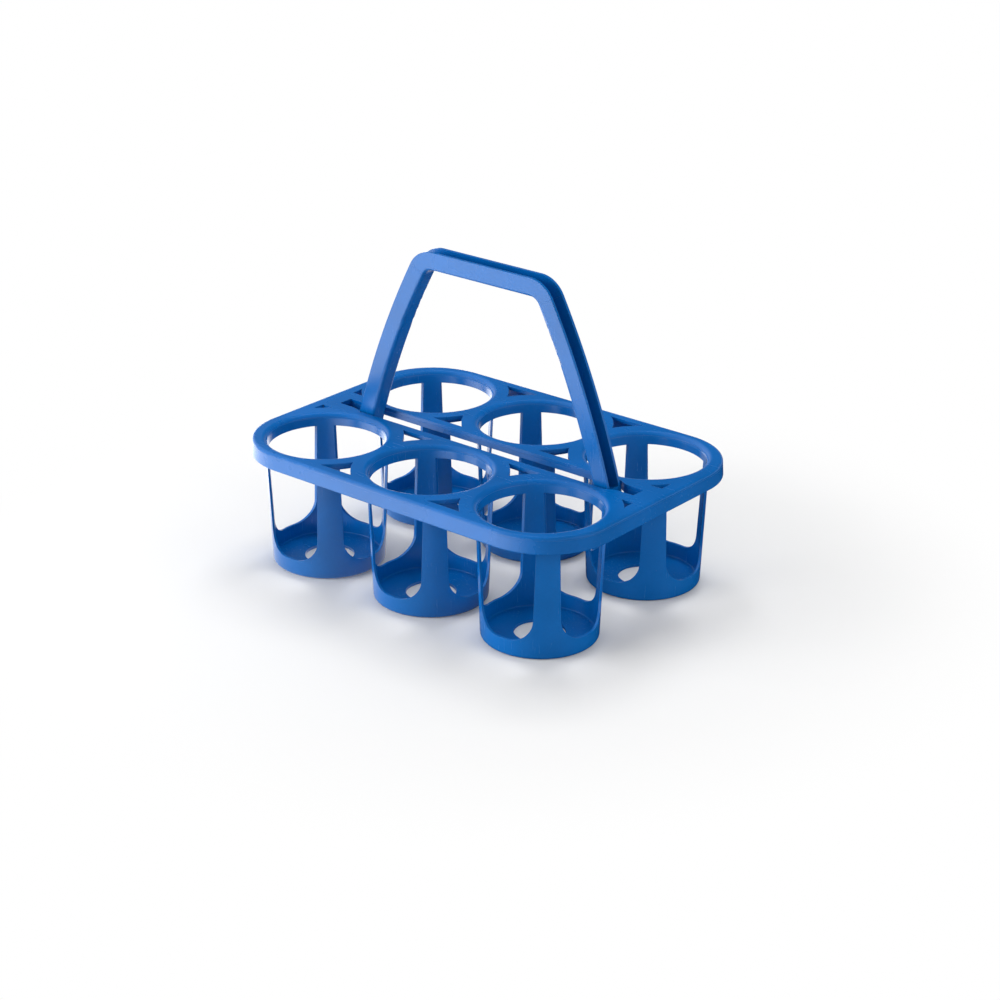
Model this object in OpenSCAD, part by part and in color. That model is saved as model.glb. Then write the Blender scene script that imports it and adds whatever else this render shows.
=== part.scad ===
// Carrier for six bottles: a moulded tray of six tapered, windowed cups, and a hoop
// handle that stands in the slot between the two rows and rocks on two pivot pins.
// X runs along the rows, Y from the front row to the back row, and Z is up.
// The origin lies on the ground under the middle of the tray. Sizes are millimetres.

/* [Cups] */
// Diameter of a cup's mouth at the top of the deck
mouth_d = 90; // [80:0.5:100]
// Radius of the rounded lip that runs down into the cup
lip_r = 4; // [3:0.1:5]
// Thickness of a cup's wall
cup_wall = 1.8; // [1.4:0.1:2.6]
// Draft of a cup's wall, in degrees
cup_draft = 2.2; // [1:0.1:3]
// Thickness of a cup's floor
floor_t = 2; // [1.5:0.1:4]
// Rounding of a cup's outer bottom edge
base_r = 2.6; // [1:0.1:4]
// Rounding inside a cup, where the wall meets the floor
inner_base_r = 1.2; // [0.5:0.1:3]
// Diameter of the drain hole in a cup's floor
drain_d = 34.6; // [10:0.2:50]
// Gap between neighbouring mouths in a row
cup_gap = 5; // [5:0.5:20]
// Gap between the mouths of the two rows, which takes the handle's slot
row_gap = 24.4; // [23:0.2:40]

/* [Windows in the cups] */
// Height of the closed collar, from the top of the deck to a window
collar_h = 8.8; // [6:0.2:20]
// Height of a window's sill above the ground
sill_h = 12; // [6:0.5:30]
// Width of a window at its top
window_top_w = 48.6; // [30:0.2:52]
// Width that its straight sides would have at the sill
window_sill_w = 41.3; // [34.4:0.1:46]
// Radius of its two lower corners
window_r = 16.6; // [4:0.2:17]

/* [Deck and rim] */
// Height of the deck's top above the ground
deck_h = 92; // [70:1:120]
// Thickness of the deck
deck_t = 2.6; // [2:0.1:3.4]
// Rounding of the deck's outer top edge
edge_r = 2.2; // [0.5:0.1:3]
// Land between a cup's mouth and the tray's end
end_land = 7.5; // [4:0.1:14]
// Land between a cup's mouth and the tray's long side
side_land = 4.3; // [2.8:0.1:10]
// Height of the skirt, from the top of the deck to its lower edge
skirt_h = 12; // [8:0.2:30]
// Thickness of the skirt
skirt_t = 2; // [1.4:0.1:2.4]
// How far the skirt flares out towards its lower edge
skirt_flare = 0.5; // [0:0.1:2]
// Width of the ring of deck left round each mouth
ring_land = 8.4; // [6:0.1:11]
// Width of the band of deck left along the tray's long sides
rim_band = 7.6; // [4:0.1:10]
// Width of the band of deck left along the tray's ends
end_band = 9.5; // [4:0.1:12]
// Width of the bar of deck left along the slot
bar_w = 6.6; // [3:0.1:9]

/* [Handle] */
// Height of the handle above the deck
handle_h = 130; // [110:1:170]
// Width over the legs at the deck
handle_w = 220.5; // [200:0.5:224]
// Lean of a leg at the deck, in degrees from upright
foot_lean = 16.5; // [12:0.5:21]
// Length of the grip's straight part, between its two corners
grip_l = 85; // [76:1:110]
// Outer radius of the upper corners
corner_r = 21; // [14:0.5:28]
// Width of the hoop's channel section, seen from the front
hoop_w = 13; // [9:0.1:16]
// Depth of the hoop from front to back
hoop_d = 13.4; // [9:0.1:16]
// Thickness of the section's web and its two flanges
hoop_t = 2; // [1.4:0.1:3]
// Rounding of the section on the side that the fingers hold
finger_r = 2.6; // [1:0.1:3.5]
// Fillet inside the section
channel_r = 1; // [0.5:0.1:1.5]

/* [Slot and pivots] */
// Free play of the hoop in the slot, on each side
slot_play = 2.3; // [1.5:0.1:6]
// Width of the narrow recess at each end of the slot
recess_w = 11.2; // [9:0.1:13]
// Length of the recess past its rounded neck
recess_l = 11; // [6:0.5:12]
// Length of the neck between the slot and the recess
neck_l = 9.5; // [8:0.5:13]
// How far the neck starts inside the legs' outer faces
neck_start = 0.25; // [0:0.05:3]
// Height of the rib round the slot, from the top of the deck
rib_h = 6; // [4:0.2:7]
// Thickness of the rib round the slot
rib_t = 1.6; // [1.2:0.1:2.4]
// Depth of the pivot line below the top of the deck
pivot_drop = 7.5; // [7:0.1:9]
// Diameter of a pivot pin
pin_d = 7; // [4:0.1:8]
// Radial clearance of a pin in its bearing
pin_clear = 0.08; // [0.02:0.01:0.1]
// Chamfer at a pin's tip
pin_chamfer = 0.6; // [0.2:0.1:1.5]
// Gap between a foot and its bearing
foot_gap = 0.8; // [0.4:0.1:2]
// Solid height of a foot above the pivot line
foot_top = 5.5; // [4:0.1:7]

/* [Hidden] */
$fn = 120;
arc_fn = 720;
section_fn = 40;
over = 1;

tray_blue = [0.10, 0.36, 0.72];
handle_blue = [0.13, 0.40, 0.76];

mouth_r = mouth_d / 2;
cup_pitch = mouth_d + cup_gap;
row_pitch = mouth_d + row_gap;
half_l = cup_pitch + mouth_r + end_land;
half_w = row_pitch / 2 + mouth_r + side_land;
rim_r = mouth_r + side_land;
rim_x = half_l - rim_r;
rim_y = half_w - rim_r;
deck_under = deck_h - deck_t;
round_r = min(edge_r, deck_t - 0.2);

slope = tan(cup_draft);
lean = sqrt(1 + slope * slope);
lip_z = deck_h - lip_r;
inner_r0 = mouth_r - lip_r - slope * lip_z;
outer_r0 = inner_r0 + cup_wall;

land_r = mouth_r + ring_land;
slot_y = hoop_d / 2 + slot_play;
bar_y = slot_y + bar_w;
neck_x = handle_w / 2 - neck_start;
recess_x = neck_x + neck_l;
end_x = recess_x + recess_l;
neck_drop = slot_y - recess_w / 2;
neck_r = (neck_l * neck_l + neck_drop * neck_drop) / (2 * neck_drop);

// A leg's outer face is an arc that leaves the deck at the foot's lean and runs
// smoothly into the arc of the upper corner
foot_x = handle_w / 2;
corner_x = grip_l / 2;
corner_z = deck_h + handle_h - corner_r;
rise = corner_z - deck_h;
run = foot_x - corner_x;
bow_r = (run * run + rise * rise - corner_r * corner_r)
    / (2 * (run * cos(foot_lean) - rise * sin(foot_lean) - corner_r));
bow_x = foot_x - bow_r * cos(foot_lean);
bow_z = deck_h - bow_r * sin(foot_lean);
top_lean = atan2(corner_z - bow_z, corner_x - bow_x);

pivot_z = deck_h - pivot_drop;
foot_r = hoop_d / 2;
foot_low = pivot_z - foot_r;
bearing_x = bow_x + bow_r * cos(leg_angle(foot_low)) + foot_gap;
bearing_r = recess_w / 2 + rib_t;

// Radius inside and outside a cup's wall, at a height above the ground
function inner_r(z) = inner_r0 + slope * z;
function outer_r(z) = outer_r0 + slope * z;

// Angle of the leg's arc at which its outer face is at a height
function leg_angle(z) = asin((z - bow_z) / bow_r);

// Everything inside a cup, from its floor up through the lip, as half a section
module cup_inside_2d() {
    fillet_z = floor_t + inner_base_r;
    fillet_x = inner_r(fillet_z) - inner_base_r * lean;
    polygon([
        [0, floor_t],
        [fillet_x, floor_t],
        [fillet_x + inner_base_r * cos(cup_draft), fillet_z - inner_base_r * sin(cup_draft)],
        [inner_r(lip_z), lip_z],
        [0, lip_z]
    ]);
    translate([fillet_x, fillet_z]) circle(r = inner_base_r);
    difference() {
        translate([0, lip_z]) square([mouth_r, lip_r + over]);
        translate([mouth_r, lip_z]) circle(r = lip_r);
    }
}

// A cup with its rounded bottom edge, filled solid up to the deck, as half a section
module cup_body_2d() {
    edge_x = outer_r(base_r) - base_r * lean;
    polygon([
        [0, 0],
        [edge_x, 0],
        [edge_x + base_r * cos(cup_draft), base_r - base_r * sin(cup_draft)],
        [outer_r(deck_under), deck_under],
        [0, deck_under]
    ]);
    translate([edge_x, base_r]) circle(r = base_r);
}

// Outline of a window: straight sides that close in a little towards round corners
module window_2d() {
    top_z = deck_h - collar_h;
    side = (window_top_w - window_sill_w) / 2 / (top_z - sill_h);
    low_z = sill_h + window_r;
    low_x = window_sill_w / 2 + side * window_r - window_r * sqrt(1 + side * side);
    touch_x = low_x + window_r * cos(atan(side));
    touch_z = low_z - window_r * sin(atan(side));
    polygon([
        [-window_top_w / 2, top_z],
        [-touch_x, touch_z],
        [-low_x, sill_h],
        [low_x, sill_h],
        [touch_x, touch_z],
        [window_top_w / 2, top_z]
    ]);
    for (side_x = [-low_x, low_x])
        translate([side_x, low_z]) circle(r = window_r);
}

module cup(column, row) {
    color(tray_blue)
    translate([column * cup_pitch, row * row_pitch / 2, 0])
    difference() {
        rotate_extrude() difference() {
            cup_body_2d();
            cup_inside_2d();
            translate([0, -over]) square([drain_d / 2, floor_t + 2 * over]);
        }
        for (turn = [0, 90])
            rotate([90, 0, turn])
            linear_extrude(height = 3 * mouth_r, center = true) window_2d();
    }
}

// Carries a section round the tray's outline: x = 0 is the rim, and y is the height
module round_rim() {
    for (sx = [0, 1], sy = [0, 1])
        mirror([sx, 0, 0]) mirror([0, sy, 0])
        translate([rim_x, rim_y, 0])
        rotate_extrude(angle = 90) translate([rim_r, 0]) children();
    for (sy = [0, 1])
        mirror([0, sy, 0])
        translate([-rim_x, half_w, 0])
        rotate([90, 0, 90]) linear_extrude(height = 2 * rim_x) children();
    for (sx = [0, 1])
        mirror([sx, 0, 0])
        translate([half_l, rim_y, 0])
        rotate([90, 0, 0]) linear_extrude(height = 2 * rim_y) children();
}

// Edge of the deck with its rounded outer corner, reaching in to the rim's centres
module deck_edge_2d() {
    translate([-rim_r, deck_under]) square([rim_r - round_r, deck_t]);
    translate([-round_r, deck_under]) square([round_r, deck_t - round_r]);
    intersection() {
        translate([-round_r, deck_h - round_r]) circle(r = round_r);
        translate([-round_r, deck_h - round_r]) square(round_r);
    }
}

// Slot for the handle: wide between the legs, with a rounded neck into each recess.
// The outline grows by a given amount, so that the rib follows it
module slot_2d(grow) {
    wide = 2 * (slot_y + grow);
    narrow = recess_w + 2 * grow;
    translate([-end_x - grow, -narrow / 2]) square([2 * (end_x + grow), narrow]);
    difference() {
        translate([-recess_x, -wide / 2]) square([2 * recess_x, wide]);
        for (sx = [-1, 1], sy = [-1, 1])
            translate([sx * recess_x, sy * (recess_w / 2 + neck_r)])
            circle(r = neck_r - grow);
    }
}

// Three-cornered holes that leave a ring of deck round each mouth
module pockets_2d() {
    for (sx = [0, 1], sy = [0, 1])
        mirror([sx, 0]) mirror([0, sy])
        difference() {
            union() {
                translate([cup_pitch / 2 - ring_land * 2, bar_y])
                square([ring_land * 4, half_w - rim_band - bar_y]);
                translate([cup_pitch, bar_y])
                square([half_l - end_band - cup_pitch, row_pitch / 2 - bar_y]);
            }
            for (column = [0, 1])
                translate([column * cup_pitch, row_pitch / 2]) circle(r = land_r);
        }
}

module deck_plate() {
    color(tray_blue)
    difference() {
        union() {
            round_rim() deck_edge_2d();
            translate([-rim_x, -rim_y, deck_under]) cube([2 * rim_x, 2 * rim_y, deck_t]);
        }
        for (column = [-1, 0, 1], row = [-1, 1])
            translate([column * cup_pitch, row * row_pitch / 2, 0])
            rotate_extrude() cup_inside_2d();
        translate([0, 0, deck_under - over]) linear_extrude(height = deck_t + 2 * over) {
            slot_2d(0);
            pockets_2d();
        }
    }
}

// Skirt: an upright wall under the deck's edge, with a round lower edge
module rim_skirt() {
    tip_z = deck_h - skirt_h + skirt_t / 2;
    color(tray_blue)
    round_rim() {
        polygon([
            [0, deck_under],
            [-skirt_t, deck_under],
            [skirt_flare - skirt_t, tip_z],
            [skirt_flare, tip_z]
        ]);
        translate([skirt_flare - skirt_t / 2, tip_z]) circle(d = skirt_t);
    }
}

// Rib round the slot, in two halves that meet at the ends of the recesses
module slot_rib(row) {
    color(tray_blue)
    translate([0, 0, deck_h - rib_h])
    linear_extrude(height = rib_h - deck_t)
    intersection() {
        difference() {
            slot_2d(rib_t);
            slot_2d(0);
        }
        translate([-half_l, row < 0 ? -half_w : 0]) square([2 * half_l, half_w]);
    }
}

// Bearing under the rib that takes a pivot pin, with a round underside
module pivot_bearing() {
    length = end_x + rib_t - bearing_x;
    color(tray_blue)
    difference() {
        intersection() {
            union() {
                translate([bearing_x, 0, pivot_z])
                rotate([0, 90, 0]) cylinder(r = bearing_r, h = length);
                translate([bearing_x, -bearing_r, pivot_z])
                cube([length, 2 * bearing_r, bearing_r]);
            }
            translate([bearing_x, -bearing_r, pivot_z - bearing_r])
            cube([length, 2 * bearing_r, deck_h - rib_h - pivot_z + bearing_r]);
        }
        translate([bearing_x - over, 0, pivot_z])
        rotate([0, 90, 0]) cylinder(r = pin_d / 2 + pin_clear, h = length + 2 * over);
    }
}

// Solid section of the hoop: x = 0 is the finger side, which has rounded corners
module hoop_solid_2d() {
    translate([finger_r, -hoop_d / 2]) square([hoop_w - finger_r, hoop_d]);
    translate([0, finger_r - hoop_d / 2]) square([hoop_w, hoop_d - 2 * finger_r]);
    for (side_y = [-1, 1])
        translate([finger_r, side_y * (hoop_d / 2 - finger_r)])
        circle(r = finger_r, $fn = section_fn);
}

// Hollow of the hoop's channel section, open on the outside of the loop
module hoop_hollow_2d() {
    hollow_d = hoop_d - 2 * hoop_t;
    translate([hoop_t + channel_r, -hollow_d / 2]) square([hoop_w, hollow_d]);
    translate([hoop_t, channel_r - hollow_d / 2]) square([hoop_w, hollow_d - 2 * channel_r]);
    for (side_y = [-1, 1])
        translate([hoop_t + channel_r, side_y * (hollow_d / 2 - channel_r)])
        circle(r = channel_r, $fn = section_fn);
}

// Sweeps a section along the right leg's arc, between two angles of the arc
module along_leg(from_angle, to_angle) {
    translate([bow_x, 0, bow_z])
    rotate([90, 0, 0]) rotate([0, 0, from_angle])
    rotate_extrude(angle = to_angle - from_angle, $fn = arc_fn)
    translate([bow_r - hoop_w, 0]) children();
}

// Leg of the channel section. Its foot is solid round the pivot line and carries a pin
module handle_leg() {
    pin_x = bow_x + bow_r * cos(leg_angle(pivot_z)) - hoop_w / 2;
    pin_l = end_x - pin_x;
    color(handle_blue) {
        difference() {
            along_leg(leg_angle(foot_low - hoop_w), top_lean) hoop_solid_2d();
            along_leg(leg_angle(pivot_z + foot_top), top_lean + over) hoop_hollow_2d();
            translate([0, -hoop_d, pivot_z - 2 * foot_r - hoop_w])
            difference() {
                cube([2 * foot_x, 2 * hoop_d, 2 * foot_r + hoop_w]);
                translate([-over, hoop_d, 2 * foot_r + hoop_w])
                rotate([0, 90, 0]) cylinder(r = foot_r, h = 2 * foot_x + 2 * over);
            }
        }
        translate([pin_x, 0, pivot_z]) rotate([0, 90, 0]) {
            cylinder(d = pin_d, h = pin_l - pin_chamfer);
            translate([0, 0, pin_l - pin_chamfer])
            cylinder(d1 = pin_d, d2 = pin_d - 2 * pin_chamfer, h = pin_chamfer);
        }
    }
}

// Grip bar with its two upper corners, in the same channel section
module handle_grip() {
    module section() {
        translate([corner_r - hoop_w, 0]) difference() {
            hoop_solid_2d();
            hoop_hollow_2d();
        }
    }
    color(handle_blue) {
        for (side = [0, 1])
            mirror([side, 0, 0])
            translate([corner_x, 0, corner_z])
            rotate([90, -90, 0]) mirror([0, 1, 0])
            rotate_extrude(angle = 90 - top_lean) section();
        translate([0, 0, corner_z])
        rotate([0, -90, 0])
        linear_extrude(height = grip_l, center = true) section();
    }
}

module slot_rib_front() { slot_rib(-1); }
module slot_rib_back() { slot_rib(1); }
module cup_front_left() { cup(-1, -1); }
module cup_front_middle() { cup(0, -1); }
module cup_front_right() { cup(1, -1); }
module cup_back_left() { cup(-1, 1); }
module cup_back_middle() { cup(0, 1); }
module cup_back_right() { cup(1, 1); }
module pivot_bearing_left() { mirror([1, 0, 0]) pivot_bearing(); }
module pivot_bearing_right() { pivot_bearing(); }
module handle_leg_left() { mirror([1, 0, 0]) handle_leg(); }
module handle_leg_right() { handle_leg(); }

deck_plate();
rim_skirt();
slot_rib_front();
slot_rib_back();
cup_front_left();
cup_front_middle();
cup_front_right();
cup_back_left();
cup_back_middle();
cup_back_right();
pivot_bearing_left();
pivot_bearing_right();
handle_grip();
handle_leg_left();
handle_leg_right();
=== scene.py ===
import math

import bpy
from mathutils import Matrix, Vector

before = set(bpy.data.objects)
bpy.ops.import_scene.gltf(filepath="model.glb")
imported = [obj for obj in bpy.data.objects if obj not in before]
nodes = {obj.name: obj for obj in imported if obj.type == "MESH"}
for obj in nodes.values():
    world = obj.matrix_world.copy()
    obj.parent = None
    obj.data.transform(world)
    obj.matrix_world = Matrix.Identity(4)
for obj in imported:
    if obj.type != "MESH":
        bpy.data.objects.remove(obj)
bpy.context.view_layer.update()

scene = bpy.context.scene


# Camera. It stands in front of the carrier, to its right and a little above it, and looks
# at the deck. Its lens is a short telephoto, so the rows of cups hardly converge.
deck_height = 0.092
camera_azimuth = math.radians(39.84)
camera_elevation = math.radians(21.87)
camera_distance = 1.62092
camera_roll = math.radians(0.3)
aim_right, aim_up = 0.00633, -0.0234
lens_mm, sensor_mm = 85.11, 36.0

towards_camera = Vector((
    math.sin(camera_azimuth) * math.cos(camera_elevation),
    -math.cos(camera_azimuth) * math.cos(camera_elevation),
    math.sin(camera_elevation),
))
world_up = Vector((0, 0, 1))
side = (-towards_camera).cross(world_up).normalized()
upright = side.cross(-towards_camera)
gaze = (-towards_camera + side * aim_right + upright * aim_up).normalized()
side = gaze.cross(world_up).normalized()
upright = side.cross(gaze)
rolled_x = math.cos(camera_roll) * side + math.sin(camera_roll) * upright
rolled_y = math.cos(camera_roll) * upright - math.sin(camera_roll) * side

camera_data = bpy.data.cameras.new("camera")
camera_data.lens = lens_mm
camera_data.sensor_width = sensor_mm
camera = bpy.data.objects.new("camera", camera_data)
camera.matrix_world = Matrix.Translation(
    towards_camera * camera_distance + Vector((0, 0, deck_height))
) @ Matrix((rolled_x, rolled_y, -gaze)).transposed().to_4x4()
scene.collection.objects.link(camera)
scene.camera = camera
scene.view_settings.view_transform = "Standard"


# A value inside a material. Sums and products of such values add the Math nodes, and
# node() adds any other node from its settings and the values or links of its sockets.
class Signal:
    def __init__(self, tree, socket=None):
        self.tree = tree
        self.socket = socket

    def node(self, kind, settings=None, sockets=None, output=0):
        made = self.tree.nodes.new(kind)
        for name, value in (settings or {}).items():
            if name == "stops":
                ramp = made.color_ramp
                ramp.elements[0].position = value[0][0]
                ramp.elements[-1].position = value[-1][0]
                for position, level in value[1:-1]:
                    ramp.elements.new(position)
                for element, (position, level) in zip(ramp.elements, value):
                    element.color = (level, level, level, 1)
            else:
                setattr(made, name, value)
        for name, value in (sockets or {}).items():
            if isinstance(value, Signal):
                self.tree.links.new(value.socket, made.inputs[name])
            else:
                made.inputs[name].default_value = value
        return Signal(self.tree, made.outputs[output] if made.outputs else None)

    def maths(self, operation, first, second):
        return self.node("ShaderNodeMath", {"operation": operation}, {0: first, 1: second})

    def __add__(self, other):
        return self.maths("ADD", self, other)

    def __radd__(self, other):
        return self.maths("ADD", other, self)

    def __sub__(self, other):
        return self.maths("SUBTRACT", self, other)

    def __rsub__(self, other):
        return self.maths("SUBTRACT", other, self)

    def __mul__(self, other):
        return self.maths("MULTIPLY", self, other)

    def __rmul__(self, other):
        return self.maths("MULTIPLY", other, self)


# Table. The carrier stands on a sheet of white paper, which takes its shadow. A little
# way off, the paper is plain white to the camera. What the plastic mirrors of it is a
# painted pool of light, brightest towards the window on the left, with painted shade
# round the carrier's foot.
paper_reach = 12.0
paper_colour = (0.73, 0.73, 0.73, 1)
white = (1, 1, 1, 1)
shadow_radius, white_radius, white_near = 0.21, 0.38, 0.05
window_side = (-0.90, -0.43, 0.0)
glow_start, glow_full = -0.09, 0.23
glow_dark, glow_bright = 0.01, 3.2
# How far the painted shade round the carrier's foot reaches, and how much of the painted glow it
# leaves
foot_shade_radius, clear_radius, foot_painted_shade_share = 0.16, 0.28, 0.4
pale_start, pale_full, pale_level = 0.8, 1.6, 0.9

paper_mesh = bpy.data.meshes.new("table_top")
paper_mesh.from_pydata(
    [(x * paper_reach, y * paper_reach, 0) for x, y in ((-1, -1), (1, -1), (1, 1), (-1, 1))],
    [], [(0, 1, 2, 3)],
)
table_top = bpy.data.objects.new("table_top", paper_mesh)
scene.collection.objects.link(table_top)


def bare_material(name):
    material = bpy.data.materials.new(name)
    material.use_nodes = True
    material.node_tree.nodes.clear()
    return material, Signal(material.node_tree)


def smooth_step(value, start, end, low, high):
    return value.node(
        "ShaderNodeMapRange", {"interpolation_type": "SMOOTHSTEP"},
        {"Value": value, "From Min": start, "From Max": end, "To Min": low, "To Max": high})


def mix_shader(factor, first, second):
    return factor.node("ShaderNodeMixShader", None, {0: factor, 1: first, 2: second})


table_white, tree = bare_material("table_white")
place = tree.node("ShaderNodeNewGeometry", output="Position")
towards_window = tree.node(
    "ShaderNodeVectorMath", {"operation": "DOT_PRODUCT"}, {0: place, 1: window_side},
    output="Value")
distance = tree.node(
    "ShaderNodeVectorMath", {"operation": "LENGTH"}, {0: place}, output="Value")
whiteness = smooth_step(distance, shadow_radius, white_radius, white_near, 1.0)
# Painted light: to glossy rays the paper glows as a painted pool of light towards the window,
# dimmed by painted shade near the carrier's foot
glow = smooth_step(towards_window, glow_start, glow_full, glow_dark, glow_bright)
glow = glow * smooth_step(distance, foot_shade_radius, clear_radius, foot_painted_shade_share, 1.0)
glow = glow + smooth_step(distance, pale_start, pale_full, 0.0, pale_level)
is_camera = tree.node("ShaderNodeLightPath", output="Is Camera Ray")
is_glossy = tree.node("ShaderNodeLightPath", output="Is Glossy Ray")
paper = tree.node("ShaderNodeBsdfDiffuse", None, {"Color": paper_colour})
plain_white = tree.node("ShaderNodeEmission", None, {"Color": white, "Strength": 1.0})
mirrored_paper = tree.node("ShaderNodeEmission", None, {"Strength": glow})
seen = mix_shader(is_camera * whiteness, paper, plain_white)
seen = mix_shader(is_glossy, seen, mirrored_paper)
tree.node("ShaderNodeOutputMaterial", None, {"Surface": seen})
paper_mesh.materials.append(table_white)


# Room. To the camera the room behind the table is plain white. It fills the shadows with
# an even light, and the plastic mirrors its pale horizon and one wide, soft window on
# the left.
room_fill = 0.74
window_direction = (-0.86, -0.38, 0.34)
window_edge, window_middle = 0.3, 0.97
window_dark, window_bright = 0.01, 1.3
horizon_top, horizon_base, horizon_bright = 0.30, 0.05, 0.6

room = bpy.data.worlds.new("room")
room.use_nodes = True
room.node_tree.nodes.clear()
scene.world = room

tree = Signal(room.node_tree)
direction = tree.node("ShaderNodeTexCoord", output="Generated")
towards_window = tree.node(
    "ShaderNodeVectorMath", {"operation": "DOT_PRODUCT"}, {0: direction, 1: window_direction},
    output="Value")
height = tree.node("ShaderNodeSeparateXYZ", None, {0: direction}, output="Z")
glow = smooth_step(towards_window, window_edge, window_middle, window_dark, window_bright)
glow = glow + smooth_step(height, horizon_top, horizon_base, 0.0, horizon_bright)
is_camera = tree.node("ShaderNodeLightPath", output="Is Camera Ray")
is_glossy = tree.node("ShaderNodeLightPath", output="Is Glossy Ray")
is_transmission = tree.node("ShaderNodeLightPath", output="Is Transmission Ray")
even_light = tree.node("ShaderNodeBackground", None, {"Strength": room_fill})
plain_white = tree.node("ShaderNodeBackground", None, {"Color": white, "Strength": 1.0})
mirrored_room = tree.node("ShaderNodeBackground", None, {"Strength": glow})
seen = mix_shader(is_camera, even_light, plain_white)
seen = mix_shader(is_transmission, seen, plain_white)
seen = mix_shader(is_glossy, seen, mirrored_room)
tree.node("ShaderNodeOutputWorld", None, {"Surface": seen})


# Lamps. Three soft boxes light the carrier: one overhead and a little behind, one in front
# on the left, and a weak one on the right. Neither the camera nor the plastic sees them.
def soft_box(name, place, aim_height, width, watts):
    data = bpy.data.lights.new(name, "AREA")
    data.shape = "SQUARE"
    data.size = width
    data.energy = watts
    box = bpy.data.objects.new(name, data)
    box.location = place
    aim = Vector((0, 0, aim_height)) - Vector(place)
    box.rotation_euler = aim.to_track_quat("-Z", "Y").to_euler()
    box.visible_glossy = box.visible_camera = False
    scene.collection.objects.link(box)


soft_box(
    "overhead_soft_box", place=(-0.35, 0.55, 1.5), aim_height=0.05, width=0.9, watts=14.5)
soft_box("front_soft_box", place=(-1.1, -1.3, 0.5), aim_height=0.08, width=1.0, watts=29.0)
soft_box("side_soft_box", place=(1.5, 0.1, 0.6), aim_height=0.08, width=1.0, watts=7.5)


# Cups. Six tapered buckets with four windows each, moulded in one with the deck from blue
# polypropylene. Their walls keep faint upright marks from sliding off the mould's core.
# The cups' blue is painted a little lighter than the deck's, painted light on walls that stand
# in the deck's shade
cup_colour_painted_lighter, cup_gloss = (0.0, 0.116, 0.402), 0.20
cup_scuff_stretch, cup_scuffs, cup_shift = (5.0, 5.0, 0.3), 0.8, 0.3

# The plastic's noises, each as a scale in cycles per metre and a detail
cloud_noise, speck_noise = (19.0, 4.0), (620.0, 2.0)
scuff_noise, patch_noise, rub_noise = (160.0, 3.0), (31.0, 2.0), (90.0, 3.0)
wave_noise, peel_noise = (42.0, 1.0), (1500.0, 2.0)

# Clouds of colour where the melt flowed, and the range of noise that they spread over
speck_share, cloud_range = 0.2, (0.3, 0.7)
deep_share, light_share = 0.86, 1.13

# Fine scuffs in patches, and edges that wear has rounded, rubbed and made paler
scuff_stops = [(0.0, 0.0), (0.655, 0.0), (0.675, 1.0), (0.70, 0.0), (1.0, 0.0)]
patch_range = (0.45, 0.65)
edge_radius, edge_samples, edge_range = 0.0003, 6, (0.995, 0.85)
rub_least = 0.35
pale_share, pale_lift = 0.7, 0.16
rub_paleness, scuff_paleness = 0.12, 0.02

# Slow waves where the wall cooled, a faint orange peel, and how dull each kind of wear is
wave_height, wave_strength = 0.00035, 0.08
peel_height, peel_strength, scuff_depth = 0.000012, 0.5, 0.4
cloud_roughness, scuff_roughness, rub_roughness = 0.10, 0.18, 0.08
plastic_ior = 1.49


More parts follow.
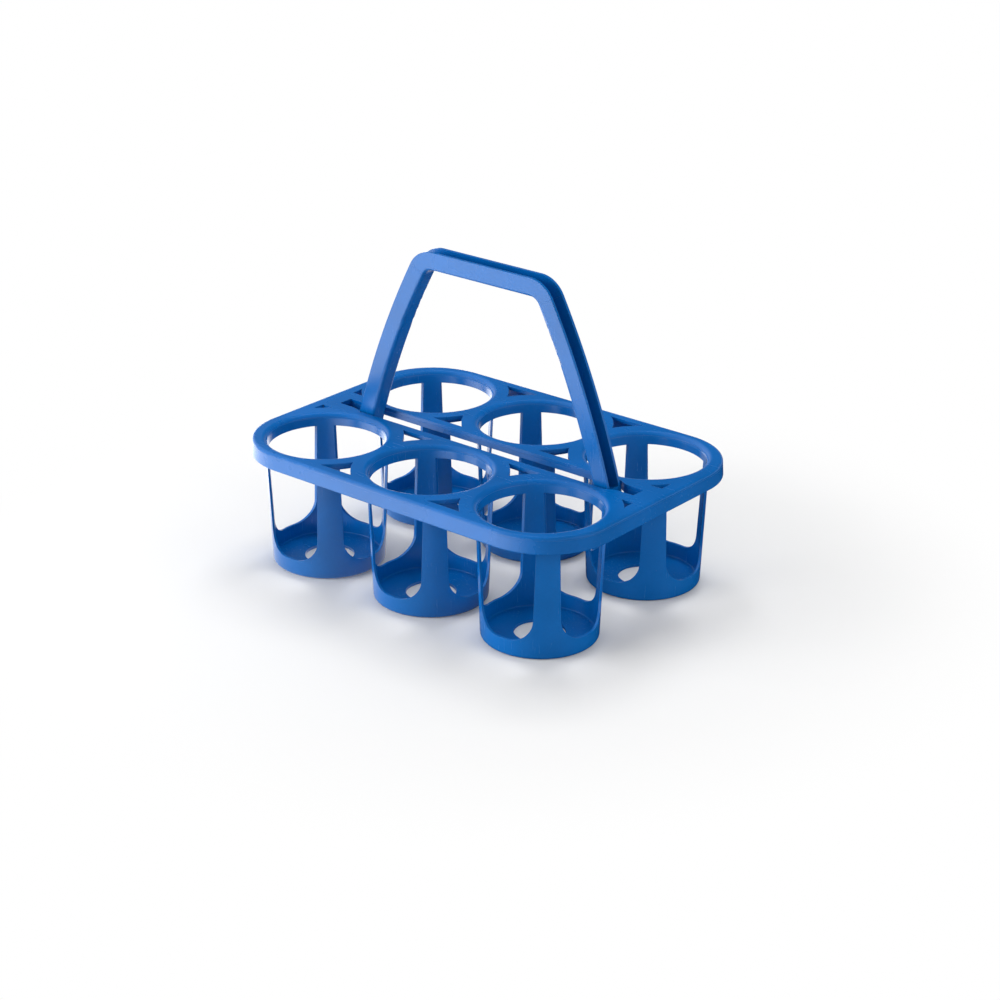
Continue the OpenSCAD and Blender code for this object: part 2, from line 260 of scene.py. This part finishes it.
def moulded_plastic(name, colour, gloss, scuff_stretch, scuff_amount, shift):
    material, tree = bare_material(name)
    place = tree.node("ShaderNodeTexCoord", output="Object")
    place = tree.node("ShaderNodeVectorMath", None, {0: place, 1: (shift, shift * 2, shift * 3)})

    def noise(scale_and_detail, at=place):
        scale, detail = scale_and_detail
        return tree.node(
            "ShaderNodeTexNoise", None, {"Vector": at, "Scale": scale, "Detail": detail})

    def map_range(value, limits):
        start, end = limits
        return tree.node(
            "ShaderNodeMapRange", None, {"Value": value, "From Min": start, "From Max": end})

    def mix_colour(factor, first, second):
        return tree.node(
            "ShaderNodeMix", {"data_type": "RGBA"}, {0: factor, 6: first, 7: second}, output=2)

    cloud = noise(cloud_noise)
    speck = noise(speck_noise)
    clouded = map_range((1 - speck_share) * cloud + speck_share * speck, cloud_range)

    stretched = tree.node(
        "ShaderNodeVectorMath", {"operation": "MULTIPLY"}, {0: place, 1: scuff_stretch})
    scratches = tree.node(
        "ShaderNodeValToRGB", {"stops": scuff_stops}, {0: noise(scuff_noise, stretched)})
    patches = map_range(noise(patch_noise), patch_range)
    scuffs = scratches * patches * scuff_amount

    surface_normal = tree.node("ShaderNodeNewGeometry", output="Normal")
    round_normal = tree.node(
        "ShaderNodeBevel", {"samples": edge_samples}, {"Radius": edge_radius})
    flatness = tree.node(
        "ShaderNodeVectorMath", {"operation": "DOT_PRODUCT"},
        {0: surface_normal, 1: round_normal}, output="Value")
    edge = map_range(flatness, edge_range)
    rubbed = edge * (rub_least + (1 - rub_least) * noise(rub_noise))

    deep = tuple(c * deep_share for c in colour) + (1,)
    light = tuple(c * light_share for c in colour) + (1,)
    pale = tuple(c * pale_share + pale_lift for c in colour) + (1,)
    base = mix_colour(clouded, deep, light)
    base = mix_colour(rub_paleness * rubbed + scuff_paleness * scuffs, base, pale)

    waves = tree.node(
        "ShaderNodeBump", None,
        {"Strength": wave_strength, "Distance": wave_height,
         "Height": noise(wave_noise), "Normal": round_normal})
    peel = tree.node(
        "ShaderNodeBump", None,
        {"Strength": peel_strength, "Distance": peel_height,
         "Height": noise(peel_noise) - scuff_depth * scuffs, "Normal": waves})
    roughness = (gloss + cloud_roughness * cloud + scuff_roughness * scuffs
                 + rub_roughness * rubbed)
    plastic = tree.node(
        "ShaderNodeBsdfPrincipled", None,
        {"Base Color": base, "Roughness": roughness, "IOR": plastic_ior, "Normal": peel})
    tree.node("ShaderNodeOutputMaterial", None, {"Surface": plastic})
    return material


def dress(node_names, material):
    for name in node_names:
        mesh = nodes[name].data
        mesh.materials.clear()
        mesh.materials.append(material)


dress(
    ["cup_%s_%s" % (row, column)
     for row in ("front", "back") for column in ("left", "middle", "right")],
    moulded_plastic("cup_blue", cup_colour_painted_lighter, cup_gloss, cup_scuff_stretch, cup_scuffs, cup_shift))


# Deck and skirt. The deck joins the six mouths, and the skirt hangs round its edge. They
# come out of the same mould as the cups, and their scuffs run mostly along the rows.
deck_colour, deck_gloss = (0.0, 0.111, 0.394), 0.22
deck_scuff_stretch, deck_scuffs, deck_shift = (0.35, 4.0, 4.0), 0.8, 1.7

dress(
    ["deck_plate", "rim_skirt"],
    moulded_plastic(
        "deck_blue", deck_colour, deck_gloss, deck_scuff_stretch, deck_scuffs, deck_shift))


# Slot ribs and bearings. The ribs run under the slot's edges, and a bearing at each end
# holds one of the handle's pins. They are moulded with the deck and hardly worn.
rib_colour, rib_gloss = (0.0, 0.110, 0.390), 0.24
rib_scuff_stretch, rib_scuffs, rib_shift = (1.0, 1.0, 1.0), 0.3, 2.9

dress(
    ["slot_rib_front", "slot_rib_back", "pivot_bearing_left", "pivot_bearing_right"],
    moulded_plastic("rib_blue", rib_colour, rib_gloss, rib_scuff_stretch, rib_scuffs, rib_shift))


# Handle. A hoop of channel section, open on the outside, moulded on its own from the same
# plastic. A pin on each foot turns in a bearing, and the scuffs run up and down the legs.
# The handle's blue is painted a little darker than the deck's, painted shade on its brightly lit
# front faces
handle_colour_painted_darker, handle_gloss = (0.0, 0.110, 0.384), 0.21
handle_scuff_stretch, handle_scuffs, handle_shift = (4.0, 4.0, 0.35), 0.9, 4.1

dress(
    ["handle_grip", "handle_leg_left", "handle_leg_right"],
    moulded_plastic(
        "handle_blue", handle_colour_painted_darker, handle_gloss, handle_scuff_stretch, handle_scuffs,
        handle_shift))
